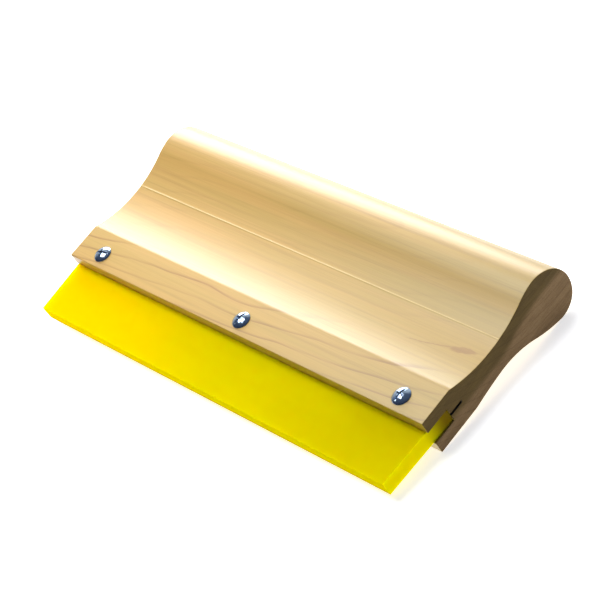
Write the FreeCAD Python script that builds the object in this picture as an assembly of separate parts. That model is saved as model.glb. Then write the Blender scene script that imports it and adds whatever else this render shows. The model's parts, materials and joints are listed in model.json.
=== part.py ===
import FreeCAD, Part
import math
import os

# Screen-printing squeegee: a moulded wooden handle that clamps a polyurethane blade.
#
# Every piece is drawn first in the section frame of the tool:
#   x  along the handle, 0 at mid-length
#   u  from the blade's working edge, 0, towards the crown of the grip
#   n  from the blade's middle plane, 0, towards the front, where the screw heads are
# It is then laid on its back, the way the tool rests on a table, with +Z up.

# Driving dimensions in millimetres and degrees.
HANDLE_LENGTH = 304.8          # 12 in
JAW_HALF_THICKNESS = 12.7      # the two jaws together are 1 in thick
FRONT_JAW_TOP = 57.7           # u where the front cove starts
REAR_JAW_TOP = 64.8            # u where the rear cove ends

BLADE_LENGTH = 300.0           # stops a little short of both handle ends
BLADE_HEIGHT = 50.8            # 2 in
BLADE_THICKNESS = 9.525        # 3/8 in
SLOT_DEPTH = 15.875            # 5/8 in
KERF_WIDTH = 1.4               # saw kerf that lets the jaws close on the blade
KERF_DEPTH = 9.2

COVE_START_HEADING = -23.0     # direction in which the front cove leaves the jaw
# The grip's outline from the front jaw over the crown to the rear: radius and turn of each
# tangent arc. A positive radius is hollow, a negative one is round.
GRIP_ARCS = (
    (80.0, 44.0),              # front cove
    (-44.0, 12.0),             # front shoulder
    (-20.0, 121.0),            # crown
    (-14.0, 78.5),             # rear swell, which the tool rests on
    (-76.0, 15.0),             # rear shoulder
    (55.0, 29.0),              # rear cove
)
REAR_SWELL = 3                 # its place in GRIP_ARCS

SCREW_INSET = 23.0             # outer screws, from the handle's ends
SCREW_ABOVE_JAW_EDGE = 9.0
SHANK_RADIUS = 2.413           # number 10 screw
SCREW_LENGTH = 25.4            # under the head, 1 in
SCREW_TIP_CHAMFER = 0.5
CLEARANCE_HOLE_RADIUS = 2.78   # 7/32 in drill
HEAD_RADIUS = 5.7              # truss head
HEAD_HEIGHT = 2.6
HEAD_RIM = 0.35                # straight edge under the dome
SLOT_WIDTH = 1.35              # the head's screwdriver slot
SLOT_CUT = 1.25
CROSS_WIDTH = 1.2              # the head's cross recess
CROSS_SPAN = 5.6
CROSS_CUT = 2.0
CROSS_FLOOR_SPAN = 2.4
HEAD_TURNS = (17.0, 78.0, 84.0)   # how far each head is turned from the handle's length

NUT_FLANGE_RADIUS = 7.9
NUT_FLANGE_THICKNESS = 1.4
NUT_BARREL_RADIUS = 3.6
NUT_HEIGHT = 7.5
NUT_BORE_CLEARANCE = 0.05      # radial, screw in nut
NUT_SEAT_CLEARANCE = 0.2       # radial, nut in its counterbore and pilot hole
PRONG_COUNT = 4
PRONG_WIDTH = 3.0
PRONG_THICKNESS = 1.2
PRONG_LENGTH = 4.6

JAW_EDGE = BLADE_HEIGHT - SLOT_DEPTH
SLOT_FLOOR = BLADE_HEIGHT
SLOT_HALF = BLADE_THICKNESS / 2
SCREW_U = JAW_EDGE + SCREW_ABOVE_JAW_EDGE
SCREW_X = HANDLE_LENGTH / 2 - SCREW_INSET
SIDES = {"left": -SCREW_X, "centre": 0.0, "right": SCREW_X}

X_AXIS = FreeCAD.Vector(1, 0, 0)
N_AXIS = FreeCAD.Vector(0, 0, 1)
ORIGIN = FreeCAD.Vector(0, 0, 0)


def at(x, u, n):
    return FreeCAD.Vector(x, u, n)


def polar(centre, radius, angle):
    """The (u, n) point at an angle in radians on a circle."""
    return centre[0] + radius * math.cos(angle), centre[1] + radius * math.sin(angle)


def grip_outline():
    """The grip's arcs as (start, middle, end, centre, radius), tangent to each other."""
    point = (FRONT_JAW_TOP, JAW_HALF_THICKNESS)
    heading = math.radians(COVE_START_HEADING)
    arcs = []
    for radius, turn in GRIP_ARCS:
        side = math.copysign(1.0, radius)
        sweep = side * math.radians(turn)
        centre = polar(point, abs(radius), heading + side * math.pi / 2)
        first = heading - side * math.pi / 2
        middle = polar(centre, abs(radius), first + sweep / 2)
        end = polar(centre, abs(radius), first + sweep)
        arcs.append((point, middle, end, centre, abs(radius)))
        point = end
        heading += sweep
    arcs.append(closing_arc(point, heading))
    return arcs


def closing_arc(point, heading):
    """The arc that leaves a point along a heading and ends on the rear jaw's top edge."""
    target = (REAR_JAW_TOP, -JAW_HALF_THICKNESS)
    du, dn = target[0] - point[0], target[1] - point[1]
    along = du * math.cos(heading) + dn * math.sin(heading)
    across = dn * math.cos(heading) - du * math.sin(heading)
    radius = (along ** 2 + across ** 2) / (2 * across)
    centre = polar(point, radius, heading + math.pi / 2)
    first = heading - math.pi / 2
    half_turn = math.atan2(across, along)
    middle = polar(centre, radius, first + half_turn)
    return point, middle, target, centre, abs(radius)


def rest_tilt(arcs):
    """The angle in degrees that lays the rear swell and the rear jaw's edge on one level."""
    centre, radius = arcs[REAR_SWELL][3:]
    du = centre[0] - JAW_EDGE
    dn = centre[1] + JAW_HALF_THICKNESS
    return math.degrees(math.asin(radius / math.hypot(du, dn)) - math.atan2(dn, du))


def row_shift(arcs, tilt):
    """The move that puts the origin under the middle of the tilted tool, on the table."""
    lean = math.radians(tilt)
    crown_centre, crown_radius = arcs[2][3:]
    crown_y = crown_centre[0] * math.cos(lean) - crown_centre[1] * math.sin(lean) + crown_radius
    edge_y = -SLOT_HALF * math.sin(lean)
    floor_z = JAW_EDGE * math.sin(lean) - JAW_HALF_THICKNESS * math.cos(lean)
    return at(0, -(crown_y + edge_y) / 2, -floor_z)


def block(x0, x1, u0, u1, n0, n1):
    return Part.makeBox(x1 - x0, u1 - u0, n1 - n0, at(x0, u0, n0))


def polygon_edges(points):
    return [Part.makeLine(a, b) for a, b in zip(points, points[1:])]


def screw_hole(x):
    start = at(x, SCREW_U, -2 * JAW_HALF_THICKNESS)
    return Part.makeCylinder(CLEARANCE_HOLE_RADIUS, 4 * JAW_HALF_THICKNESS, start, N_AXIS)


def handle(arcs):
    """One length of moulded wood with the blade slot, the kerf and the fastener seats."""
    x = -HANDLE_LENGTH / 2
    jaw, slot, kerf = JAW_HALF_THICKNESS, SLOT_HALF, KERF_WIDTH / 2
    kerf_floor = SLOT_FLOOR + KERF_DEPTH
    edges = [
        Part.Arc(at(x, *start), at(x, *middle), at(x, *end)).toShape()
        for start, middle, end, _, _ in arcs
    ]
    edges += polygon_edges([
        at(x, REAR_JAW_TOP, -jaw),
        at(x, JAW_EDGE, -jaw),
        at(x, JAW_EDGE, -slot),
        at(x, SLOT_FLOOR, -slot),
        at(x, SLOT_FLOOR, -kerf),
        at(x, kerf_floor, -kerf),
        at(x, kerf_floor, kerf),
        at(x, SLOT_FLOOR, kerf),
        at(x, SLOT_FLOOR, slot),
        at(x, JAW_EDGE, slot),
        at(x, JAW_EDGE, jaw),
        at(x, FRONT_JAW_TOP, jaw),
    ])
    body = Part.Face(Part.Wire(edges)).extrude(at(HANDLE_LENGTH, 0, 0))
    for side_x in SIDES.values():
        body = body.cut(screw_hole(side_x)).cut(nut_seat(side_x))
    return body


def blade():
    half = BLADE_LENGTH / 2
    body = block(-half, half, 0, BLADE_HEIGHT, -SLOT_HALF, SLOT_HALF)
    for side_x in SIDES.values():
        body = body.cut(screw_hole(side_x))
    return body


def cross_wing(turn):
    """One tapering wing of the cross recess, centred on the screw's own axis."""
    half = CROSS_WIDTH / 2
    top, floor = CROSS_SPAN / 2, CROSS_FLOOR_SPAN / 2
    profile = Part.makePolygon([
        at(-floor, -half, HEAD_HEIGHT - CROSS_CUT),
        at(floor, -half, HEAD_HEIGHT - CROSS_CUT),
        at(top, -half, HEAD_HEIGHT),
        at(-top, -half, HEAD_HEIGHT),
        at(-floor, -half, HEAD_HEIGHT - CROSS_CUT),
    ])
    wing = Part.Face(profile).extrude(at(0, CROSS_WIDTH, 0))
    wing.rotate(ORIGIN, N_AXIS, turn)
    return wing


def screw(x, turn):
    """A truss-head machine screw, with a slot and a cross recess, seated on the front jaw."""
    dome_height = HEAD_HEIGHT - HEAD_RIM
    dome_radius = (HEAD_RADIUS ** 2 + dome_height ** 2) / (2 * dome_height)
    ball = Part.makeSphere(dome_radius, at(0, 0, HEAD_HEIGHT - dome_radius))
    head = Part.makeCylinder(HEAD_RADIUS, HEAD_HEIGHT, ORIGIN, N_AXIS).common(ball)
    reach = HEAD_RADIUS + 1
    half_slot, slot_floor = SLOT_WIDTH / 2, HEAD_HEIGHT - SLOT_CUT
    head = head.cut(block(-reach, reach, -half_slot, half_slot, slot_floor, HEAD_HEIGHT))
    for wing_turn in (0, 90):
        head = head.cut(cross_wing(wing_turn))
    plain = SCREW_LENGTH - SCREW_TIP_CHAMFER
    shank = Part.makeCylinder(SHANK_RADIUS, plain, at(0, 0, -plain), N_AXIS)
    tip_radius = SHANK_RADIUS - SCREW_TIP_CHAMFER
    tip_end = at(0, 0, -SCREW_LENGTH)
    tip = Part.makeCone(tip_radius, SHANK_RADIUS, SCREW_TIP_CHAMFER, tip_end, N_AXIS)
    body = head.fuse([shank, tip]).removeSplitter()
    body.rotate(ORIGIN, N_AXIS, turn)
    body.translate(at(x, SCREW_U, JAW_HALF_THICKNESS))
    return body


def prong(index, root_n):
    """One prong of a nut, a wedge bent down from the flange's edge into the wood."""
    inner = NUT_FLANGE_RADIUS - PRONG_THICKNESS
    half = PRONG_WIDTH / 2
    profile = Part.makePolygon([
        at(inner, -half, root_n),
        at(inner, half, root_n),
        at(inner, 0, root_n + PRONG_LENGTH),
        at(inner, -half, root_n),
    ])
    wedge = Part.Face(profile).extrude(at(PRONG_THICKNESS - NUT_SEAT_CLEARANCE, 0, 0))
    wedge.rotate(ORIGIN, N_AXIS, 45 + 360 * index / PRONG_COUNT)
    return wedge


def prongs():
    return [prong(index, NUT_FLANGE_THICKNESS) for index in range(PRONG_COUNT)]


def place_nut(body, x):
    body.translate(at(x, SCREW_U, -JAW_HALF_THICKNESS))
    return body


def nut_seat(x):
    """The counterbore, pilot hole and prong cuts that hold a nut in the rear jaw."""
    wide = NUT_FLANGE_RADIUS + NUT_SEAT_CLEARANCE
    counterbore = Part.makeCylinder(wide, NUT_FLANGE_THICKNESS, ORIGIN, N_AXIS)
    pilot = Part.makeCylinder(NUT_BARREL_RADIUS + NUT_SEAT_CLEARANCE, NUT_HEIGHT, ORIGIN, N_AXIS)
    return place_nut(counterbore.fuse([pilot] + prongs()), x)


def tee_nut(x):
    """A pronged tee nut, its flange flush with the rear jaw."""
    flange = Part.makeCylinder(NUT_FLANGE_RADIUS, NUT_FLANGE_THICKNESS, ORIGIN, N_AXIS)
    barrel = Part.makeCylinder(NUT_BARREL_RADIUS, NUT_HEIGHT, ORIGIN, N_AXIS)
    body = flange.fuse([barrel] + prongs())
    bore = Part.makeCylinder(SHANK_RADIUS + NUT_BORE_CLEARANCE, NUT_HEIGHT, ORIGIN, N_AXIS)
    return place_nut(body.cut(bore).removeSplitter(), x)


def main():
    os.makedirs("parts", exist_ok=True)
    arcs = grip_outline()
    tilt = rest_tilt(arcs)
    shift = row_shift(arcs, tilt)
    pieces = {"handle": handle(arcs), "blade": blade()}
    for (side, x), turn in zip(SIDES.items(), HEAD_TURNS):
        pieces["clamp_screw_" + side] = screw(x, turn)
        pieces["tee_nut_" + side] = tee_nut(x)
    for name, shape in pieces.items():
        shape.rotate(ORIGIN, X_AXIS, tilt)
        shape.translate(shift)
        assert shape.isValid() and len(shape.Solids) == 1, name
        shape.Solids[0].exportStep("parts/" + name + ".step")
        print(name, round(shape.Volume, 1), shape.BoundBox)
    axis = FreeCAD.Rotation(X_AXIS, tilt).multVec(N_AXIS)
    seat = FreeCAD.Rotation(X_AXIS, tilt).multVec(at(0, SCREW_U, JAW_HALF_THICKNESS)).add(shift)
    print("tilt", tilt, "shift", shift, "screw axis", axis, "head seat", seat)


main()
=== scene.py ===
import json
import math

import bmesh
import bpy
from mathutils import Matrix, Vector


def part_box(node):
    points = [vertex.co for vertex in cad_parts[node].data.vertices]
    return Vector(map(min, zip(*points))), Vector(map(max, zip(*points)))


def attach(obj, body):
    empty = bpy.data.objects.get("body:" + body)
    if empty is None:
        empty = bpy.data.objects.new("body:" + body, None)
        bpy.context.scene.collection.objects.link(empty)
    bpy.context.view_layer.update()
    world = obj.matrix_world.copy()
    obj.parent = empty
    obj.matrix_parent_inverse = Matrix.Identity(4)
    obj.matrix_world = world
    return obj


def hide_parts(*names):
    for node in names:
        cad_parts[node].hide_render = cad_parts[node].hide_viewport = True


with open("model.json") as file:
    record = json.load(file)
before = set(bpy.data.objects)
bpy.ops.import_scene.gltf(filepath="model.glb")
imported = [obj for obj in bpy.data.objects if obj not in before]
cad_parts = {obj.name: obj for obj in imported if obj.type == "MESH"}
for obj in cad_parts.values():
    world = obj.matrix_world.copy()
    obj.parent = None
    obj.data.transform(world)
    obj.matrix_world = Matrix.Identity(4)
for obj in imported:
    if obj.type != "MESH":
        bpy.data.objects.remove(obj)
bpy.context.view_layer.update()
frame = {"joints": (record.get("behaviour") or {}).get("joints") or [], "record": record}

# Screen-printing squeegee, lying on its back. Lengths are metres, and the names below that end
# in _MM are millimetres, because the outline and the materials are easier to read in those.
#
# The section frame is the tool's own: x along the handle, u from the blade's working edge towards
# the crown of the grip, n out of the front. The blade_edge mount says where it lies.
MM = 0.001

# The grip's outline, as the design has it.
JAW_HALF_MM = 12.7
FRONT_JAW_TOP_MM = 57.7
REAR_JAW_TOP_MM = 64.8
JAW_EDGE_MM = 34.925
BLADE_TOP_MM = 50.8
BLADE_HALF_MM = 4.7625
KERF_HALF_MM = 0.7
KERF_FLOOR_MM = 60.0
COVE_START_HEADING = -23.0
# Radius and turn in degrees of each arc, from the front cove over the crown to the rear cove.
# A positive radius is hollow.
GRIP_ARCS = (
    (80.0, 44.0),
    (-44.0, 12.0),
    (-20.0, 121.0),
    (-14.0, 78.5),
    (-76.0, 15.0),
    (55.0, 29.0),
)
ARC_STEP_DEG = 1.5
RIDGE_U_MM = 96.5             # thin line that two cutter passes left along the front cove
RIDGE_HALF_WIDTH_MM = 0.45
RIDGE_HEIGHT_MM = 0.16
CORNER_EASE_MM = 0.7          # sanded edges along the handle
END_EASE_MM = 0.35            # sanded edges round the two ends
END_EASE_STEPS = 4
SPAN_STEPS = 24               # stations between the ends

SMOOTH_DEG = 35.0             # edges sharper than this stay sharp
END_FACING = 0.7              # faces that look along the handle at least this much are end grain

SCREW_HOLE_MM = 2.78
SEAT_RADIUS_MM = 8.1
SEAT_DEPTH_MM = 1.4

BLADE_EASE_MM = 0.18
BLADE_FOOT_MM = 0.4           # how far the foot stops short of the blade's nominal ends
BLADE_SPREAD_LEFT_MM = 1.9    # how far the top edge runs past them
BLADE_SPREAD_RIGHT_MM = 1.7

HEAD_RADIUS_MM = 5.7
HEAD_HEIGHT_MM = 2.6
HEAD_RIM_MM = 0.35
HEAD_EASE_MM = 0.07
HEAD_CLEARANCE_MM = 0.02      # keeps the head's underside off the jaw as it turns
HEAD_SMOOTH_DEG = 38.0
SLOT_WIDTH_MM = 1.35
SLOT_CUT_MM = 1.25
CROSS_WIDTH_MM = 1.2
CROSS_SPAN_MM = 5.6
CROSS_CUT_MM = 2.0
CROSS_FLOOR_SPAN_MM = 2.4
CUTTER_OVERRUN_MM = 0.2
SHANK_RADIUS_MM = 2.40
THREAD_ROOT_MM = 1.95
THREAD_PITCH_MM = 1.0583
THREAD_STEPS = 8
THREAD_RUNOUT_MM = 1.5        # plain shank under the head
SCREW_SIDES = 64
DOME_STEPS = 14
SCREW_LENGTH_MM = 25.4
TIP_CHAMFER_MM = 0.5
SLOT_TURNS = {"left": 17.0, "centre": 78.0, "right": 84.0}

FLANGE_RADIUS_MM = 7.9
FLANGE_THICKNESS_MM = 1.4
BARREL_RADIUS_MM = 3.6
NUT_HEIGHT_MM = 7.5
BORE_RADIUS_MM = 2.463
NUT_SIDES = 128
NOTCH_HALF_MM = 1.9
NOTCH_DEPTH_MM = 1.3
PRONG_HALF_MM = 1.45
PRONG_TIP_MM = 5.6
PRONG_TIP_HALF_MM = 0.12
PRONG_START_DEG = 45

# Wood tones, linear RGB.
PITH_U_MM = 150.0
PITH_N_MM = 150.0
PITH_LEAN = 0.055
RING_MM = 5.2
SAPWOOD_U_MM = (90.0, 128.0)    # the sapwood begins behind these points of the section
SAPWOOD_N_MM = (-3.5, 3.0)
HEART_OLIVE = (0.540, 0.330, 0.052)
HEART_GOLD = (0.610, 0.350, 0.070)
# darker, more olive right end: partly the wood's own tone, partly painted shade
OLIVE_AND_SHADE_END = (0.78, 0.83, 0.44)
SAP_CREAM = (0.77, 0.62, 0.38)
LATEWOOD = (0.62, 0.45, 0.08)
STREAK_BROWN = (0.74, 0.67, 0.46)
FIBRE_TAN = (0.84, 0.79, 0.62)
STAIN_X_MM = 138.0
STAIN_U_MM = 83.0
STAIN_CLIMB = 0.18
STAIN_WOBBLE_MM = 3.4
STAIN_BROWN = (0.74, 0.57, 0.08)
# painted highlight along the cove's ridge
RIDGE_PAINTED_HIGHLIGHT = (0.80, 0.62, 0.24)
MILL_MARK_U_MM = 131.0
# the end grain's dark tones are partly its own and partly painted shade
END_HEART_AND_SHADE = (0.146, 0.094, 0.026)
END_SAP_AND_SHADE = (0.300, 0.190, 0.088)
END_LATE = (0.55, 0.50, 0.42)
END_RAY = (0.62, 0.58, 0.52)
END_PORE = (0.50, 0.46, 0.42)
WOOD_SPECULAR = 0.20
END_SPECULAR = 0.15
SEALER_ROUGHNESS = 0.38
SEALER_IOR = 1.62
SWAY_MM = 9.0                 # how far the rings wander over the length, and over a hand's width
RIPPLE_MM = 2.6

# painted shade inside the slot and the saw kerf
SLOT_SHADE = (0.22, 0.14, 0.02)
KERF_PAINTED_SHADE = (0.012, 0.007, 0.004)

BLADE_YELLOW = (0.665, 0.565, 0.0)
BLADE_DEEP = (0.62, 0.520, 0.0)
# painted glow towards the blade's left end
BLADE_PAINTED_GLOW = (0.84, 0.600, 0.0)
# painted shade under the jaws and in the slot
BLADE_PAINTED_SHADE = (0.20, 0.125, 0.004)
# painted shadow along the foot's rear edge
BLADE_PAINTED_SHADOW = (0.24, 0.11, 0.0)
BLADE_END = (0.86, 0.74, 0.0)
GLOW_WEIGHT = 0.85
GLOW_RADIUS = (1.0, 0.72, 0.03)
GLOW_DEPTH_MM = 13.0

BRIGHT_ZINC = (0.32, 0.41, 0.53)
DULL_ZINC = (0.66, 0.68, 0.69)

WHITE = (1.0, 1.0, 1.0)
FLOOR_HALF = 8.0
FLOOR_TONE = (0.90, 0.90, 0.895)
FLOOR_ROUGHNESS = 0.7
FLOOR_SPECULAR = 0.2
FLOOR_GLOW_MM = (400.0, 1500.0)   # where the glow begins and ends its rise
FLOOR_GLOW = 0.64
FLOOR_FAR_GLOW = 0.85
BRIGHT_SIDE = (-0.72, 0.69, 0.05)
CEILING_SIDE = (-0.35, 0.40, 0.85)
ROOM_DARK = (0.025, 0.032, 0.055)
ROOM_CEILING = (0.15, 0.18, 0.25)
ROOM_BRIGHT = (1.15, 1.15, 1.13)
KEY_DIRECTION = (-0.70, 0.61, 0.33)
KEY_DISTANCE = 0.85
KEY_WIDTH = 0.6
KEY_HEIGHT = 0.4
KEY_POWER = 5.9
TOP_DIRECTION = (-0.29, -0.04, 0.96)
TOP_DISTANCE = 0.78
TOP_SIZE = 0.5
TOP_SPREAD = 80.0
TOP_POWER = 1.45

CAMERA_TARGET = Vector((0.0070, 0.0015, 0.0111))
CAMERA_DISTANCE = 1.2616
CAMERA_AZIMUTH = 65.762
CAMERA_ELEVATION = 39.677
CAMERA_ROLL = -30.473
CAMERA_LENS = 136.0
CAMERA_SENSOR = 36.0
CAMERA_FAR = 50.0


# ---------------------------------------------------------------- section frame

def mount(name):
    return next(m for m in frame["record"]["mounts"] if m["name"] == name)


def joint(side):
    return next(j for j in frame["joints"] if j["name"] == "screw_turn_" + side)


EDGE = mount("blade_edge")
X_AXIS = Vector((1, 0, 0))
U_AXIS = -Vector(EDGE["axis"]).normalized()
N_AXIS = X_AXIS.cross(U_AXIS)
SECTION = Matrix((
    (X_AXIS.x, U_AXIS.x, N_AXIS.x, EDGE["pos_m"][0]),
    (X_AXIS.y, U_AXIS.y, N_AXIS.y, EDGE["pos_m"][1]),
    (X_AXIS.z, U_AXIS.z, N_AXIS.z, EDGE["pos_m"][2]),
    (0, 0, 0, 1),
))
TO_SECTION = SECTION.inverted()
SCREW_X_MM = {side: joint(side)["pos_m"][0] / MM for side in SLOT_TURNS}
SCREW_U_MM = (TO_SECTION @ Vector(joint("centre")["pos_m"])).y / MM
HANDLE_HALF_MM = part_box("handle")[1].x / MM
BLADE_HALF_LENGTH_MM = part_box("blade")[1].x / MM


# ---------------------------------------------------------------- mesh helpers

def piece_from_bmesh(name, mesh_data, smooth_angle=SMOOTH_DEG):
    """Makes an object from a bmesh whose points are section-frame millimetres."""
    mesh_data.transform(SECTION @ Matrix.Scale(MM, 4))
    bmesh.ops.recalc_face_normals(mesh_data, faces=mesh_data.faces)
    mesh = bpy.data.meshes.new(name)
    mesh_data.to_mesh(mesh)
    mesh_data.free()
    mesh.polygons.foreach_set("use_smooth", [True] * len(mesh.polygons))
    mesh.set_sharp_from_angle(angle=math.radians(smooth_angle))
    piece = bpy.data.objects.new(name, mesh)
    bpy.context.scene.collection.objects.link(piece)
    return piece


def apply_modifiers(piece):
    """Turns the piece's modifiers into mesh."""
    depsgraph = bpy.context.evaluated_depsgraph_get()
    mesh = bpy.data.meshes.new_from_object(piece.evaluated_get(depsgraph))
    piece.modifiers.clear()
    piece.data = mesh


def subtract(piece, cutters):
    """Cuts the cutter objects out of the piece and removes them."""
    for cutter in cutters:
        cut = piece.modifiers.new("cut", "BOOLEAN")
        cut.operation = "DIFFERENCE"
        cut.solver = "EXACT"
        cut.object = cutter
    apply_modifiers(piece)
    for cutter in cutters:
        bpy.data.objects.remove(cutter)


def even_normals(piece):
    """Keeps large flat faces flat beside their eased edges."""
    weighted = piece.modifiers.new("weighted_normals", "WEIGHTED_NORMAL")
    weighted.keep_sharp = True
    weighted.weight = 80


def loft(rings, close_ends=True):
    """A bmesh through equal rings of points."""
    data = bmesh.new()
    rows = [[data.verts.new(p) for p in ring] for ring in rings]
    count = len(rings[0])
    for low, high in zip(rows, rows[1:]):
        for i in range(count):
            j = (i + 1) % count
            data.faces.new((low[i], low[j], high[j], high[i]))
    if close_ends:
        caps = [data.faces.new(list(reversed(rows[0]))), data.faces.new(rows[-1])]
        data.normal_update()
        bmesh.ops.triangulate(data, faces=caps, ngon_method="EAR_CLIP")
    return data


# ---------------------------------------------------------------- handle

def polar(centre, radius, angle):
    return Vector((centre.x + radius * math.cos(angle), centre.y + radius * math.sin(angle)))


def arc_points(point, heading, radius, turn_deg):
    """Points after the start of an arc, and the heading it ends with."""
    side = math.copysign(1.0, radius)
    centre = polar(point, abs(radius), heading + side * math.pi / 2)
    first = heading - side * math.pi / 2
    steps = max(2, math.ceil(turn_deg / ARC_STEP_DEG))
    sweep = side * math.radians(turn_deg)
    points = [polar(centre, abs(radius), first + sweep * k / steps) for k in range(1, steps + 1)]
    return points, heading + sweep


def grip_points():
    """The grip from the front jaw over the crown to the rear jaw, as (u, n) points."""
    point = Vector((FRONT_JAW_TOP_MM, JAW_HALF_MM))
    points = [point]
    heading = math.radians(COVE_START_HEADING)
    for radius, turn in GRIP_ARCS:
        made, heading = arc_points(points[-1], heading, radius, turn)
        points += made
    target = Vector((REAR_JAW_TOP_MM, -JAW_HALF_MM))
    gap = target - points[-1]
    along = gap.x * math.cos(heading) + gap.y * math.sin(heading)
    across = gap.y * math.cos(heading) - gap.x * math.sin(heading)
    radius = gap.length_squared / (2 * across)
    turn = math.degrees(2 * math.atan2(across, along))
    made, _ = arc_points(points[-1], heading, radius, turn)
    return with_ridge(points + made[:-1] + [target])


def with_ridge(points):
    """Raises the cutter's ridge on the front cove."""
    low = RIDGE_U_MM - RIDGE_HALF_WIDTH_MM
    high = RIDGE_U_MM + RIDGE_HALF_WIDTH_MM
    last = next(k for k, p in enumerate(points) if p.x > high)
    first = max(k for k, p in enumerate(points[:last]) if p.x < low)
    a, b = points[first], points[last]
    ridge = []
    for offset, height in ((-1.0, 0.0), (-0.35, 1.0), (0.35, 1.0), (1.0, 0.0)):
        u = RIDGE_U_MM + offset * RIDGE_HALF_WIDTH_MM
        n = a.y + (b.y - a.y) * (u - a.x) / (b.x - a.x)
        ridge.append(Vector((u, n + height * RIDGE_HEIGHT_MM)))
    return points[:first + 1] + ridge + points[last:]


def eased(before, corner, after, ease=CORNER_EASE_MM, steps=4):
    """Replaces one corner by a small round."""
    a = corner + (before - corner).normalized() * ease
    b = corner + (after - corner).normalized() * ease
    return [
        (a * (1 - t) ** 2 + corner * 2 * t * (1 - t) + b * t ** 2)
        for t in (k / steps for k in range(steps + 1))
    ]


def handle_outline():
    grip = grip_points()
    jaws = [Vector(p) for p in (
        (JAW_EDGE_MM, -JAW_HALF_MM),
        (JAW_EDGE_MM, -BLADE_HALF_MM),
        (BLADE_TOP_MM, -BLADE_HALF_MM),
        (BLADE_TOP_MM, -KERF_HALF_MM),
        (KERF_FLOOR_MM, -KERF_HALF_MM),
        (KERF_FLOOR_MM, KERF_HALF_MM),
        (BLADE_TOP_MM, KERF_HALF_MM),
        (BLADE_TOP_MM, BLADE_HALF_MM),
        (JAW_EDGE_MM, BLADE_HALF_MM),
        (JAW_EDGE_MM, JAW_HALF_MM),
    )]
    around = [grip[-1]] + jaws + [grip[0]]
    outline = list(grip)
    for k in range(1, len(around) - 1):
        outward = k in (1, len(around) - 2)
        if outward:
            outline += eased(around[k - 1], around[k], around[k + 1])
        else:
            outline.append(around[k])
    return outline


def inset(outline, distance):
    """The outline moved inwards, corners mitred."""
    moved = []
    count = len(outline)
    for k, point in enumerate(outline):
        before = (point - outline[k - 1]).normalized()
        after = (outline[(k + 1) % count] - point).normalized()
        normal = Vector((before.y + after.y, -before.x - after.x)).normalized()
        stretch = max(0.5, normal.dot(Vector((before.y, -before.x))))
        moved.append(point + normal * distance / stretch)
    return moved


def make_handle():
    outline = handle_outline()
    stations = []
    for k in range(END_EASE_STEPS + 1):
        angle = math.pi / 2 * k / END_EASE_STEPS
        stations.append((END_EASE_MM * (1 - math.sin(angle)), END_EASE_MM * (1 - math.cos(angle))))
    ends = [(HANDLE_HALF_MM - back, depth) for depth, back in reversed(stations)]
    span = HANDLE_HALF_MM - END_EASE_MM
    middle = [(-span + 2 * span * k / SPAN_STEPS, 0.0) for k in range(1, SPAN_STEPS)]
    low = [(-x, depth) for x, depth in reversed(ends)]
    rings = []
    for x, depth in low + middle + ends:
        rings.append([Vector((x, p.x, p.y)) for p in inset(outline, depth)])
    handle = piece_from_bmesh("wooden_handle", loft(rings))
    through = 2 * JAW_HALF_MM
    seat_floor = -JAW_HALF_MM + SEAT_DEPTH_MM
    cutters = []
    for side, x in SCREW_X_MM.items():
        cutters.append(round_cutter("hole_" + side, x, SCREW_HOLE_MM, -through, through))
        cutters.append(round_cutter("seat_" + side, x, SEAT_RADIUS_MM, -through, seat_floor))
    subtract(handle, cutters)
    handle.data.set_sharp_from_angle(angle=math.radians(SMOOTH_DEG))
    even_normals(handle)
    paint(handle, wood_side(), wood_end())
    for polygon in handle.data.polygons:
        polygon.material_index = int(abs(polygon.normal.x) > END_FACING)
    return handle


def round_cutter(name, x, radius, n0, n1, sides=64):
    rings = [
        [Vector((x + radius * math.cos(a), SCREW_U_MM + radius * math.sin(a), n))
         for a in (2 * math.pi * k / sides for k in range(sides))]
        for n in (n0, n1)
    ]
    return piece_from_bmesh(name, loft(rings))


# ---------------------------------------------------------------- blade

def make_blade():
    half, top, thick = BLADE_HALF_LENGTH_MM, BLADE_TOP_MM, BLADE_HALF_MM
    foot = half - BLADE_FOOT_MM
    data = bmesh.new()
    bmesh.ops.create_cube(data, size=1.0)
    bmesh.ops.scale(data, vec=(2 * half, top, 2 * thick), verts=data.verts)
    bmesh.ops.translate(data, vec=(0, top / 2, 0), verts=data.verts)
    for vert in data.verts:
        if vert.co.y < top / 2:
            vert.co.x = math.copysign(foot, vert.co.x)
        elif vert.co.x > 0:
            vert.co.x = half + BLADE_SPREAD_RIGHT_MM
        else:
            vert.co.x = -half - BLADE_SPREAD_LEFT_MM
    bmesh.ops.bevel(data, geom=list(data.edges), offset=BLADE_EASE_MM, segments=3, profile=0.5,
                    affect="EDGES")
    blade = piece_from_bmesh("polyurethane_blade", data)
    subtract(blade, [
        round_cutter("blade_hole_" + side, x, SCREW_HOLE_MM, -2 * thick, 2 * thick)
        for side, x in SCREW_X_MM.items()
    ])
    blade.data.set_sharp_from_angle(angle=math.radians(SMOOTH_DEG))
    even_normals(blade)
    paint(blade, polyurethane())
    return blade


# ---------------------------------------------------------------- screws and nuts

def ring(centre_x, radius_at, n, sides):
    """One ring of points round a screw's axis; radius_at gives the radius at an angle."""
    points = []
    for k in range(sides):
        angle = 2 * math.pi * k / sides
        radius = radius_at(angle)
        points.append(Vector((
            centre_x + radius * math.cos(angle), SCREW_U_MM + radius * math.sin(angle), n)))
    return points


def plain(radius):
    return lambda angle: radius


def thread(n):
    """Radius of a right-handed 60 degree thread at a level and an angle."""
    def radius(angle):
        phase = (n / THREAD_PITCH_MM - angle / (2 * math.pi)) % 1.0
        height = min(1.0, max(0.0, 1.25 - 2.5 * abs(phase - 0.5)))
        return THREAD_ROOT_MM + (SHANK_RADIUS_MM - THREAD_ROOT_MM) * height
    return radius


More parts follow.
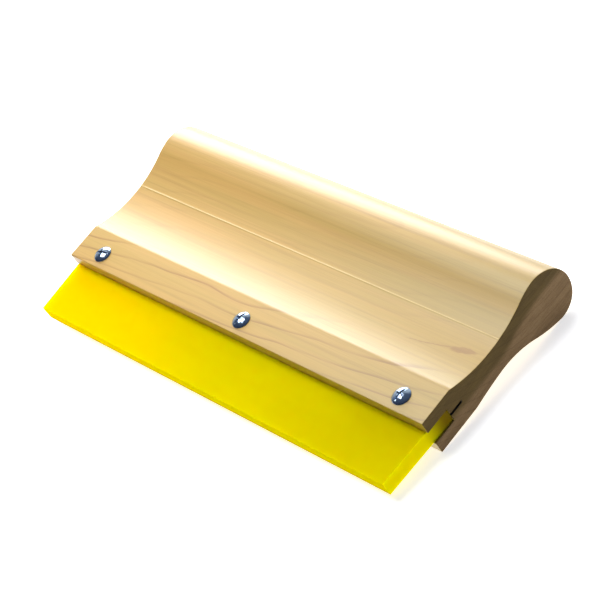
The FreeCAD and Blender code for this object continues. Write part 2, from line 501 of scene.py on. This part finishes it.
def head_profile():
    """The head from its underside over the rim to the top, as (radius, height) points."""
    dome_height = HEAD_HEIGHT_MM - HEAD_RIM_MM
    dome_radius = (HEAD_RADIUS_MM ** 2 + dome_height ** 2) / (2 * dome_height)
    reach = math.asin(HEAD_RADIUS_MM / dome_radius)
    points = [
        (HEAD_RADIUS_MM - 0.12, HEAD_CLEARANCE_MM),
        (HEAD_RADIUS_MM - 0.03, 0.05),
        (HEAD_RADIUS_MM, 0.14),
        (HEAD_RADIUS_MM - 0.01, HEAD_RIM_MM - 0.06),
        (HEAD_RADIUS_MM - 0.09, HEAD_RIM_MM + 0.03),
    ]
    for k in range(1, DOME_STEPS):
        angle = reach * (1 - k / DOME_STEPS) * 0.985
        points.append((
            dome_radius * math.sin(angle), HEAD_HEIGHT_MM - dome_radius * (1 - math.cos(angle))))
    return points


def make_screw(side):
    x = SCREW_X_MM[side]
    rings = []
    tip = JAW_HALF_MM - SCREW_LENGTH_MM
    rings.append(ring(x, plain(THREAD_ROOT_MM - 0.35), tip, SCREW_SIDES))
    rings.append(ring(x, plain(THREAD_ROOT_MM - 0.05), tip + 0.3 * TIP_CHAMFER_MM, SCREW_SIDES))
    count = round((SCREW_LENGTH_MM - THREAD_RUNOUT_MM) / THREAD_PITCH_MM * THREAD_STEPS)
    threaded = SCREW_LENGTH_MM - THREAD_RUNOUT_MM - TIP_CHAMFER_MM
    for k in range(count + 1):
        n = tip + TIP_CHAMFER_MM + threaded * k / count
        rings.append(ring(x, thread(n), n, SCREW_SIDES))
    rings.append(ring(x, plain(SHANK_RADIUS_MM - 0.1), JAW_HALF_MM - 0.8, SCREW_SIDES))
    rings.append(ring(x, plain(SHANK_RADIUS_MM), JAW_HALF_MM + HEAD_CLEARANCE_MM, SCREW_SIDES))
    for radius, height in head_profile():
        rings.append(ring(x, plain(radius), JAW_HALF_MM + height, SCREW_SIDES))
    screw = piece_from_bmesh("clamp_screw_%s_zinc" % side, loft(rings))
    turn = math.radians(SLOT_TURNS[side])
    wide = HEAD_RADIUS_MM + 1
    slot_floor = HEAD_HEIGHT_MM - SLOT_CUT_MM
    cutters = [recess("slot_" + side, x, turn, wide, wide, SLOT_WIDTH_MM, slot_floor)]
    for quarter in (0, 1):
        cutters.append(recess(
            "cross_%d_%s" % (quarter, side), x, turn + quarter * math.pi / 2, CROSS_SPAN_MM / 2,
            CROSS_FLOOR_SPAN_MM / 2, CROSS_WIDTH_MM, HEAD_HEIGHT_MM - CROSS_CUT_MM))
    subtract(screw, cutters)
    ease_edges(screw, HEAD_EASE_MM, lambda p: p.z / MM > JAW_HALF_MM + HEAD_RIM_MM + 0.05)
    screw.data.set_sharp_from_angle(angle=math.radians(HEAD_SMOOTH_DEG))
    return screw


def recess(name, x, turn, top_half, floor_half, width, floor):
    """A slot cutter across the head, narrowing from the head's top to its floor."""
    along = Vector((math.cos(turn), math.sin(turn), 0))
    aside = Vector((-math.sin(turn), math.cos(turn), 0))
    centre = Vector((x, SCREW_U_MM, JAW_HALF_MM))
    slope = (top_half - floor_half) / (HEAD_HEIGHT_MM - floor)
    lift = HEAD_HEIGHT_MM + CUTTER_OVERRUN_MM
    over = top_half + slope * CUTTER_OVERRUN_MM
    rings = []
    for level, half in ((floor, floor_half), (lift, over)):
        rings.append([
            centre + along * a * half + aside * b * width / 2 + Vector((0, 0, level))
            for a, b in ((-1, -1), (1, -1), (1, 1), (-1, 1))
        ])
    return piece_from_bmesh(name, loft(rings))


def ease_edges(piece, width, chosen, angle=30.0):
    """Rounds the piece's sharp edges wherever the section point, in metres, is chosen."""
    data = bmesh.new()
    data.from_mesh(piece.data)
    weights = data.edges.layers.float.new("bevel_weight_edge")
    for edge in data.edges:
        middle = TO_SECTION @ ((edge.verts[0].co + edge.verts[1].co) / 2)
        sharp = len(edge.link_faces) == 2 and edge.calc_face_angle(0) > math.radians(angle)
        edge[weights] = 1.0 if sharp and chosen(middle) else 0.0
    data.to_mesh(piece.data)
    data.free()
    bevel = piece.modifiers.new("eased", "BEVEL")
    bevel.limit_method = "WEIGHT"
    bevel.width = width * MM
    bevel.segments = 2
    apply_modifiers(piece)


def notched(angle):
    """The nut flange's outer radius, with the four gaps its prongs were bent from."""
    start = math.radians(PRONG_START_DEG)
    middle = start + math.pi / 2 * round((angle - start) / (math.pi / 2))
    inside = abs(angle - middle) < math.asin(NOTCH_HALF_MM / FLANGE_RADIUS_MM)
    if not inside:
        return FLANGE_RADIUS_MM
    return (FLANGE_RADIUS_MM - NOTCH_DEPTH_MM) / math.cos(angle - middle)


def make_nut(side):
    x = SCREW_X_MM[side]
    levels = (
        (lambda a: notched(a) - 0.2, 0.0),
        (lambda a: notched(a) - 0.05, 0.05),
        (notched, 0.2),
        (notched, FLANGE_THICKNESS_MM - 0.15),
        (lambda a: notched(a) - 0.15, FLANGE_THICKNESS_MM),
        (plain(BARREL_RADIUS_MM + 0.15), FLANGE_THICKNESS_MM),
        (plain(BARREL_RADIUS_MM), FLANGE_THICKNESS_MM + 0.3),
        (plain(BARREL_RADIUS_MM), NUT_HEIGHT_MM - 0.3),
        (plain(BARREL_RADIUS_MM - 0.25), NUT_HEIGHT_MM),
        (plain(BORE_RADIUS_MM + 0.15), NUT_HEIGHT_MM),
        (plain(BORE_RADIUS_MM), NUT_HEIGHT_MM - 0.15),
        (plain(BORE_RADIUS_MM), 0.7),
        (plain(BORE_RADIUS_MM + 0.22), 0.42),
        (plain(BORE_RADIUS_MM + 0.75), 0.1),
        (plain(BORE_RADIUS_MM + 1.05), 0.0),
    )
    rings = [ring(x, radius, level - JAW_HALF_MM, NUT_SIDES) for radius, level in levels]
    data = loft(rings + [rings[0]], close_ends=False)
    bmesh.ops.remove_doubles(data, verts=data.verts, dist=1e-5)
    for quarter in range(4):
        add_prong(data, x, math.radians(PRONG_START_DEG) + quarter * math.pi / 2)
    return piece_from_bmesh("tee_nut_%s_zinc" % side, data, smooth_angle=40)


def add_prong(data, x, angle):
    """One tapering prong, bent down from the flange into the wood."""
    out = Vector((math.cos(angle), math.sin(angle), 0))
    aside = Vector((-math.sin(angle), math.cos(angle), 0))
    centre = Vector((x, SCREW_U_MM, -JAW_HALF_MM))
    inner = FLANGE_RADIUS_MM - NOTCH_DEPTH_MM - 0.6
    outer = FLANGE_RADIUS_MM - NOTCH_DEPTH_MM + 0.55
    rows = []
    for level, half, near, far in (
        (0.25, PRONG_HALF_MM, inner, outer - 0.45),
        (0.55, PRONG_HALF_MM, inner, outer),
        (FLANGE_THICKNESS_MM, PRONG_HALF_MM, inner, outer),
        (PRONG_TIP_MM, PRONG_TIP_HALF_MM, inner + 0.2, outer - 0.25),
    ):
        rows.append([
            data.verts.new(centre + out * r + aside * half * s + Vector((0, 0, level)))
            for r, s in ((near, -1), (far, -1), (far, 1), (near, 1))
        ])
    for low, high in zip(rows, rows[1:]):
        for k in range(4):
            j = (k + 1) % 4
            data.faces.new((low[k], low[j], high[j], high[k]))
    data.faces.new(list(reversed(rows[0])))
    data.faces.new(rows[-1])


# ---------------------------------------------------------------- materials

class Finish:
    """A material being wired up. Section-frame millimetres are in self.place."""

    def __init__(self, name):
        self.material = bpy.data.materials.new(name)
        self.material.use_nodes = True
        self.tree = self.material.node_tree
        self.shader = self.tree.nodes["Principled BSDF"]
        coords = self.node("ShaderNodeTexCoord")
        mapping = self.node("ShaderNodeMapping")
        mapping.inputs["Rotation"].default_value = TO_SECTION.to_euler()
        mapping.inputs["Location"].default_value = TO_SECTION.translation / MM
        mapping.inputs["Scale"].default_value = (1 / MM,) * 3
        self.link(coords.outputs["Object"], mapping.inputs["Vector"])
        self.place = mapping.outputs["Vector"]

    def node(self, kind, **settings):
        made = self.tree.nodes.new(kind)
        for key, value in settings.items():
            setattr(made, key, value)
        return made

    def link(self, source, target):
        self.tree.links.new(source, target)

    def feed(self, target, value):
        if isinstance(value, bpy.types.NodeSocket):
            self.link(value, target)
        else:
            target.default_value = value

    def set(self, **values):
        """Links the shader's own sockets: base_color, roughness, normal and so on."""
        for key, value in values.items():
            self.feed(self.shader.inputs[key.replace("_", " ").title()], value)

    def fix(self, socket, value):
        """Gives one of the shader's own sockets a uniform value."""
        self.shader.inputs[socket].default_value = value

    def calc(self, operation, *values):
        made = self.node("ShaderNodeMath", operation=operation)
        for socket, value in zip(made.inputs, values):
            self.feed(socket, value)
        return made.outputs[0]

    def stretched(self, scale, offset=(0.0, 0.0, 0.0)):
        """The section point, scaled per axis."""
        made = self.node("ShaderNodeMapping")
        made.inputs["Scale"].default_value = scale
        made.inputs["Location"].default_value = offset
        self.link(self.place, made.inputs["Vector"])
        return made.outputs["Vector"]

    def noise(self, scale, detail=2.0, rough=0.5, offset=(0.0, 0.0, 0.0)):
        """Noise with features about 1/scale mm long on each axis."""
        made = self.node("ShaderNodeTexNoise")
        made.inputs["Scale"].default_value = 1.0
        made.inputs["Detail"].default_value = detail
        made.inputs["Roughness"].default_value = rough
        self.link(self.stretched(scale, offset), made.inputs["Vector"])
        return made.outputs["Fac"]

    def wander(self, scale, detail, reach_mm, rough=0.5):
        """Noise about zero, up to half of reach_mm either way."""
        centred = self.calc("SUBTRACT", self.noise(scale, detail, rough), 0.5)
        return self.calc("MULTIPLY", centred, reach_mm)

    def band(self, value, centre, low, high, to_low, to_high):
        """Maps the distance of a value from a centre, as span does."""
        away = self.calc("ABSOLUTE", self.calc("SUBTRACT", value, centre))
        return self.span(away, low, high, to_low, to_high)

    def place_parts(self):
        """The section-frame x, u and n, each as a value."""
        split = self.node("ShaderNodeSeparateXYZ")
        self.link(self.place, split.inputs[0])
        return split.outputs

    def span(self, value, low, high, to_low=0.0, to_high=1.0, smooth=True):
        """Maps low..high of a value to to_low..to_high, held at the ends."""
        made = self.node("ShaderNodeMapRange")
        made.interpolation_type = "SMOOTHSTEP" if smooth else "LINEAR"
        for key, number in (("Value", value), ("From Min", low), ("From Max", high),
                            ("To Min", to_low), ("To Max", to_high)):
            self.feed(made.inputs[key], number)
        return made.outputs["Result"]

    def mix(self, amount, a, b, blend="MIX"):
        made = self.node("ShaderNodeMix", data_type="RGBA", blend_type=blend)
        self.feed(made.inputs[0], amount)
        for socket, value in ((made.inputs[6], a), (made.inputs[7], b)):
            if isinstance(value, bpy.types.NodeSocket):
                self.link(value, socket)
            else:
                socket.default_value = (*value, 1.0)
        return made.outputs[2]

    def bump(self, height, distance_mm, strength=1.0, normal=None):
        made = self.node("ShaderNodeBump")
        made.inputs["Strength"].default_value = strength
        made.inputs["Distance"].default_value = distance_mm * MM
        self.link(height, made.inputs["Height"])
        if normal is not None:
            self.link(normal, made.inputs["Normal"])
        return made.outputs["Normal"]


def wood_field(f):
    """Position, ring lines and the front-to-rear change of tone that both wood finishes share."""
    x, u, n = f.place_parts()
    # Annual rings lie round a pith far in front, so they run along the tool.
    sway = f.wander((0.009, 0.006, 0.006), 1.0, SWAY_MM)
    ripple = f.wander((0.022, 0.05, 0.05), 1.0, RIPPLE_MM)
    wander = f.calc("ADD", f.calc("ADD", sway, ripple), f.calc("MULTIPLY", x, PITH_LEAN))
    du = f.calc("SUBTRACT", u, PITH_U_MM)
    dn = f.calc("SUBTRACT", n, PITH_N_MM)
    away = f.calc("SQRT", f.calc("ADD", f.calc("MULTIPLY", du, du), f.calc("MULTIPLY", dn, dn)))
    phase = f.calc("FRACT", f.calc("DIVIDE", f.calc("ADD", away, wander), RING_MM))
    late = f.calc("MULTIPLY", f.span(phase, 0.76, 0.94), f.span(phase, 0.94, 1.0, 1.0, 0.0))
    border = f.calc("SUBTRACT", n, f.span(u, *SAPWOOD_U_MM, *SAPWOOD_N_MM))
    sap = f.span(f.calc("ADD", border, ripple), 2.6, -2.6)
    return x, u, n, late, sap


def wood_side():
    """Sanded and sealed poplar: straight olive heartwood in front, creamy sapwood behind."""
    f = Finish("poplar_sealed")
    x, u, n, late, sap = wood_field(f)
    band = f.noise((0.006, 0.10, 0.10), 3.0, 0.55, offset=(5.0, 2.0, 0.0))
    fibre = f.noise((0.02, 1.6, 1.6), 4.0, 0.62)
    streak = f.noise((0.006, 0.55, 0.55), 3.0, 0.62, offset=(3.0, 7.0, 1.0))
    tone = f.mix(f.span(band, 0.30, 0.70), HEART_OLIVE, HEART_GOLD)
    # Darker and more olive towards the right end: partly the wood's own tone, partly painted shade
    # where less light falls.
    tone = f.mix(f.span(x, -110.0, 150.0), tone, OLIVE_AND_SHADE_END, blend="MULTIPLY")
    tone = f.mix(sap, tone, SAP_CREAM)
    # The rings show as lines on the jaw and hardly at all above it.
    faint = f.span(f.noise((0.012, 0.07, 0.07), 1.0, offset=(8.0, 1.0, 0.0)), 0.35, 0.65, 0.35, 1.0)
    lines = f.calc("MULTIPLY", f.calc("MULTIPLY", late, faint),
                   f.span(u, FRONT_JAW_TOP_MM, FRONT_JAW_TOP_MM + 14.0, 0.75, 0.12))
    tone = f.mix(lines, tone, LATEWOOD, blend="MULTIPLY")
    tone = f.mix(f.span(streak, 0.44, 0.72, 0.0, 0.42), tone, STREAK_BROWN, blend="MULTIPLY")
    tone = f.mix(f.span(fibre, 0.30, 0.72, 0.0, 0.30), tone, FIBRE_TAN, blend="MULTIPLY")
    tone = f.mix(stain(f, x, u, n), tone, STAIN_BROWN, blend="MULTIPLY")
    # Painted highlight: a pale line along the top of the cove's ridge.
    ridge_highlight = f.band(u, RIDGE_U_MM, 0.15, 0.5, 0.6, 0.0)
    tone = f.mix(f.calc("MULTIPLY", ridge_highlight, f.span(n, 2.0, 5.0)), tone, RIDGE_PAINTED_HIGHLIGHT)
    mark = f.band(u, MILL_MARK_U_MM, 0.2, 1.1, 0.55, 0.0)
    mark = f.calc("MULTIPLY", mark, f.calc("MULTIPLY", faint, f.span(n, 8.0, 12.0)))
    tone = f.mix(mark, tone, STREAK_BROWN, blend="MULTIPLY")
    # Painted shade: the slot and the saw kerf above it are darkened inside, where shade falls.
    depth = f.calc("ABSOLUTE", n)
    sawn = f.calc("LESS_THAN", u, KERF_FLOOR_MM + 0.5)
    slot = f.calc("MULTIPLY", sawn, f.calc("LESS_THAN", depth, BLADE_HALF_MM + 0.15))
    kerf = f.calc("MULTIPLY", sawn, f.calc("LESS_THAN", depth, 1.5 * KERF_HALF_MM))
    tone = f.mix(slot, tone, SLOT_SHADE)
    tone = f.mix(kerf, tone, KERF_PAINTED_SHADE)
    f.set(base_color=tone)
    f.set(roughness=f.span(fibre, 0.3, 0.7, 0.48, 0.60))
    f.set(normal=f.bump(f.span(fibre, 0.2, 0.8, smooth=False), 0.05, 0.55))
    f.fix("Specular IOR Level", WOOD_SPECULAR)
    f.fix("Coat Weight", 1.0)
    f.fix("Coat Roughness", SEALER_ROUGHNESS)
    f.fix("Coat IOR", SEALER_IOR)
    return f.material


def wood_end():
    """Sawn end grain: dark and dull, with open pores and fine rays; the dark tone is partly the end
    grain's own and partly painted shade.
    """
    f = Finish("poplar_end_grain")
    x, u, n, late, sap = wood_field(f)
    pores = f.noise((0.5, 2.6, 2.6), 3.0, 0.7)
    rays = f.noise((0.2, 0.12, 1.3), 2.0, 0.6, offset=(0.0, 4.0, 0.0))
    cloud = f.noise((0.05, 0.05, 0.16), 2.0, 0.5, offset=(2.0, 0.0, 5.0))
    # Painted shade: the end grain's base tones are darker than the wood's own.
    tone = f.mix(sap, END_HEART_AND_SHADE, END_SAP_AND_SHADE)
    tone = f.mix(f.span(cloud, 0.3, 0.7, 0.0, 0.35), tone, END_RAY, blend="MULTIPLY")
    tone = f.mix(f.span(late, 0.0, 1.0, 0.0, 0.30), tone, END_LATE, blend="MULTIPLY")
    tone = f.mix(f.span(rays, 0.40, 0.68, 0.0, 0.40), tone, END_RAY, blend="MULTIPLY")
    tone = f.mix(f.span(pores, 0.46, 0.62, 0.0, 0.38), tone, END_PORE, blend="MULTIPLY")
    f.set(base_color=tone)
    f.set(roughness=f.span(pores, 0.3, 0.7, 0.66, 0.80))
    f.set(normal=f.bump(f.calc("SUBTRACT", 1.0, f.span(pores, 0.46, 0.62)), 0.06, 0.6))
    f.fix("Specular IOR Level", END_SPECULAR)
    return f.material


def stain(f, x, u, n):
    """How strongly a brown mineral figure near the right end of the front cove tints the wood."""
    wobble = f.wander((0.10, 0.22, 0.22), 3.0, STAIN_WOBBLE_MM, rough=0.6)
    climb = f.calc("MULTIPLY", f.calc("SUBTRACT", x, STAIN_X_MM), -STAIN_CLIMB)
    level = f.calc("ADD", f.calc("ADD", f.calc("SUBTRACT", u, STAIN_U_MM), wobble), climb)

    def patch(centre, length, offset, height):
        along = f.calc("DIVIDE", f.calc("SUBTRACT", x, centre), length)
        across = f.calc("DIVIDE", f.calc("SUBTRACT", level, offset), height)
        return f.calc("ADD", f.calc("MULTIPLY", along, along), f.calc("MULTIPLY", across, across))

    blob = f.span(patch(STAIN_X_MM, 10.0, 0.0, 2.5), 0.35, 1.0, 0.85, 0.0)
    tail = f.span(patch(STAIN_X_MM - 22.0, 20.0, 0.3, 0.6), 0.1, 1.0, 0.65, 0.0)
    front = f.span(n, 2.0, 5.0)
    return f.calc("MULTIPLY", f.calc("MAXIMUM", blob, tail), front)


def polyurethane():
    """Cast yellow polyurethane, slightly translucent, with faint casting streaks, and painted light
    and shade.
    """
    f = Finish("polyurethane_yellow")
    cloud = f.noise((0.012, 0.05, 0.2), 2.0, 0.5)
    streak = f.noise((0.01, 0.9, 0.9), 3.0, 0.6)
    x, u, n = f.place_parts()
    yellow = f.mix(f.span(cloud, 0.3, 0.7), BLADE_DEEP, BLADE_YELLOW)
    # Painted glow: warmer and brighter towards the left end, where light shines through the blade.
    yellow = f.mix(f.span(x, -130.0, 20.0), BLADE_PAINTED_GLOW, yellow)
    # The right end faces away from the lights, and is painted paler to level it with the front.
    reach = f.span(u, 0.0, BLADE_TOP_MM, -BLADE_FOOT_MM, BLADE_SPREAD_RIGHT_MM, smooth=False)
    past = f.calc("SUBTRACT", x, f.calc("ADD", reach, BLADE_HALF_LENGTH_MM - 0.3))
    yellow = f.mix(f.calc("GREATER_THAN", past, 0.0), yellow, BLADE_END)
    # Painted shade: darker from just under the jaws up into the slot.
    jaw_shade = f.span(u, JAW_EDGE_MM - 5.0, BLADE_TOP_MM - 3.0)
    tone = f.mix(jaw_shade, yellow, BLADE_PAINTED_SHADE)
    # Painted shadow: the foot's rear corner is darkened.
    cut = f.calc("MULTIPLY", f.span(u, 0.1, 0.5, 1.0, 0.0),
                 f.span(n, -BLADE_HALF_MM + 0.6, -BLADE_HALF_MM + 2.6, 1.0, 0.0))
    f.set(base_color=f.mix(cut, tone, BLADE_PAINTED_SHADOW))
    f.set(roughness=f.span(streak, 0.3, 0.7, 0.30, 0.40))
    f.set(normal=f.bump(streak, 0.012, 0.5))
    f.fix("Specular IOR Level", 0.0)
    f.fix("Subsurface Weight", GLOW_WEIGHT)
    f.fix("Subsurface Radius", GLOW_RADIUS)
    f.fix("Subsurface Scale", GLOW_DEPTH_MM * MM)
    return f.material


def zinc(name, low, high, tone, dent_mm):
    """Zinc plate; low and high are its roughness limits, dent_mm the depth of its dimples."""
    f = Finish(name)
    patch = f.noise((0.35, 0.35, 0.35), 3.0, 0.6)
    grit = f.noise((3.0, 3.0, 3.0), 2.0, 0.6)
    f.set(base_color=f.mix(f.span(patch, 0.35, 0.7), tone, [0.86 * c for c in tone]))
    f.set(roughness=f.span(patch, 0.3, 0.7, low, high))
    dents = f.bump(f.noise((0.55, 0.55, 0.55), 1.0), dent_mm, 1.0)
    f.set(normal=f.bump(grit, 0.01, 0.35, dents))
    f.fix("Metallic", 1.0)
    return f.material


def paint(piece, *materials):
    piece.data.materials.clear()
    for material in materials:
        piece.data.materials.append(material)


# ---------------------------------------------------------------- build

def dress(piece, body, node):
    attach(piece, body)
    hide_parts(node)


dress(make_handle(), "grip", "handle")
dress(make_blade(), "grip", "blade")
bright_zinc = zinc("zinc_bright", 0.08, 0.16, BRIGHT_ZINC, 0.16)
dull_zinc = zinc("zinc_dull", 0.30, 0.46, DULL_ZINC, 0.03)
for side in SLOT_TURNS:
    screw, nut = make_screw(side), make_nut(side)
    paint(screw, bright_zinc)
    paint(nut, dull_zinc)
    dress(screw, "screw_" + side, "clamp_screw_" + side)
    dress(nut, "grip", "tee_nut_" + side)


# ---------------------------------------------------------------- stage, light and camera

def make_floor():
    data = bmesh.new()
    bmesh.ops.create_grid(data, x_segments=2, y_segments=2, size=FLOOR_HALF)
    mesh = bpy.data.meshes.new("floor")
    data.to_mesh(mesh)
    data.free()
    floor = bpy.data.objects.new("floor", mesh)
    bpy.context.scene.collection.objects.link(floor)
    f = Finish("floor_pale")
    f.fix("Base Color", (*FLOOR_TONE, 1.0))
    f.fix("Roughness", FLOOR_ROUGHNESS)
    f.fix("Specular IOR Level", FLOOR_SPECULAR)
    f.fix("Emission Color", (*WHITE, 1.0))
    reach = f.node("ShaderNodeVectorMath", operation="LENGTH")
    f.link(f.place, reach.inputs[0])
    f.set(emission_strength=f.span(
        reach.outputs["Value"], *FLOOR_GLOW_MM, FLOOR_GLOW, FLOOR_FAR_GLOW))
    paint(floor, f.material)


def softbox(name, direction, distance, width, height, power, spread=180.0):
    light = bpy.data.lights.new(name, "AREA")
    light.shape = "RECTANGLE"
    light.size = width
    light.size_y = height
    light.energy = power
    light.spread = math.radians(spread)
    lamp = bpy.data.objects.new(name, light)
    way = Vector(direction).normalized()
    lamp.location = CAMERA_TARGET + way * distance
    lamp.rotation_euler = way.to_track_quat("Z", "Y").to_euler()
    lamp.visible_camera = False
    bpy.context.scene.collection.objects.link(lamp)


def make_world():
    """A room that is white behind the tool, grey overhead and dark in front."""
    world = bpy.data.worlds.new("room")
    world.use_nodes = True
    bpy.context.scene.world = world
    tree = world.node_tree
    coords = tree.nodes.new("ShaderNodeTexCoord")

    def towards(direction, low, high):
        dot = tree.nodes.new("ShaderNodeVectorMath")
        dot.operation = "DOT_PRODUCT"
        dot.inputs[1].default_value = Vector(direction).normalized()
        tree.links.new(coords.outputs["Generated"], dot.inputs[0])
        spread = tree.nodes.new("ShaderNodeMapRange")
        spread.interpolation_type = "SMOOTHSTEP"
        spread.inputs["From Min"].default_value = low
        spread.inputs["From Max"].default_value = high
        tree.links.new(dot.outputs["Value"], spread.inputs["Value"])
        return spread.outputs["Result"]

    def mix(amount, a, b):
        blend = tree.nodes.new("ShaderNodeMix")
        blend.data_type = "RGBA"
        tree.links.new(amount, blend.inputs[0])
        for socket, value in ((blend.inputs[6], a), (blend.inputs[7], b)):
            if isinstance(value, bpy.types.NodeSocket):
                tree.links.new(value, socket)
            else:
                socket.default_value = (*value, 1.0)
        return blend.outputs[2]

    room = mix(towards(CEILING_SIDE, -0.25, 0.95), ROOM_DARK, ROOM_CEILING)
    room = mix(towards(BRIGHT_SIDE, 0.30, 0.95), room, ROOM_BRIGHT)
    path = tree.nodes.new("ShaderNodeLightPath")
    room = mix(path.outputs["Is Camera Ray"], room, WHITE)
    tree.links.new(room, tree.nodes["Background"].inputs["Color"])


def make_camera():
    azimuth = math.radians(CAMERA_AZIMUTH)
    elevation = math.radians(CAMERA_ELEVATION)
    roll = math.radians(CAMERA_ROLL)
    back = Vector((
        math.sin(azimuth) * math.cos(elevation),
        -math.cos(azimuth) * math.cos(elevation),
        math.sin(elevation),
    ))
    level = Vector((0, 0, 1)).cross(back).normalized()
    right = level * math.cos(roll) + back.cross(level) * math.sin(roll)
    up = back.cross(right)
    turn = Matrix((right, up, back)).transposed()
    data = bpy.data.cameras.new("camera")
    data.lens = CAMERA_LENS
    data.sensor_width = CAMERA_SENSOR
    data.clip_end = CAMERA_FAR
    camera = bpy.data.objects.new("camera", data)
    camera.matrix_world = Matrix.Translation(CAMERA_TARGET + back * CAMERA_DISTANCE) @ turn.to_4x4()
    bpy.context.scene.collection.objects.link(camera)
    bpy.context.scene.camera = camera


make_floor()
make_world()
softbox("key", KEY_DIRECTION, KEY_DISTANCE, KEY_WIDTH, KEY_HEIGHT, KEY_POWER)
softbox("top", TOP_DIRECTION, TOP_DISTANCE, TOP_SIZE, TOP_SIZE, TOP_POWER, TOP_SPREAD)
make_camera()
bpy.context.scene.view_settings.view_transform = "Standard"
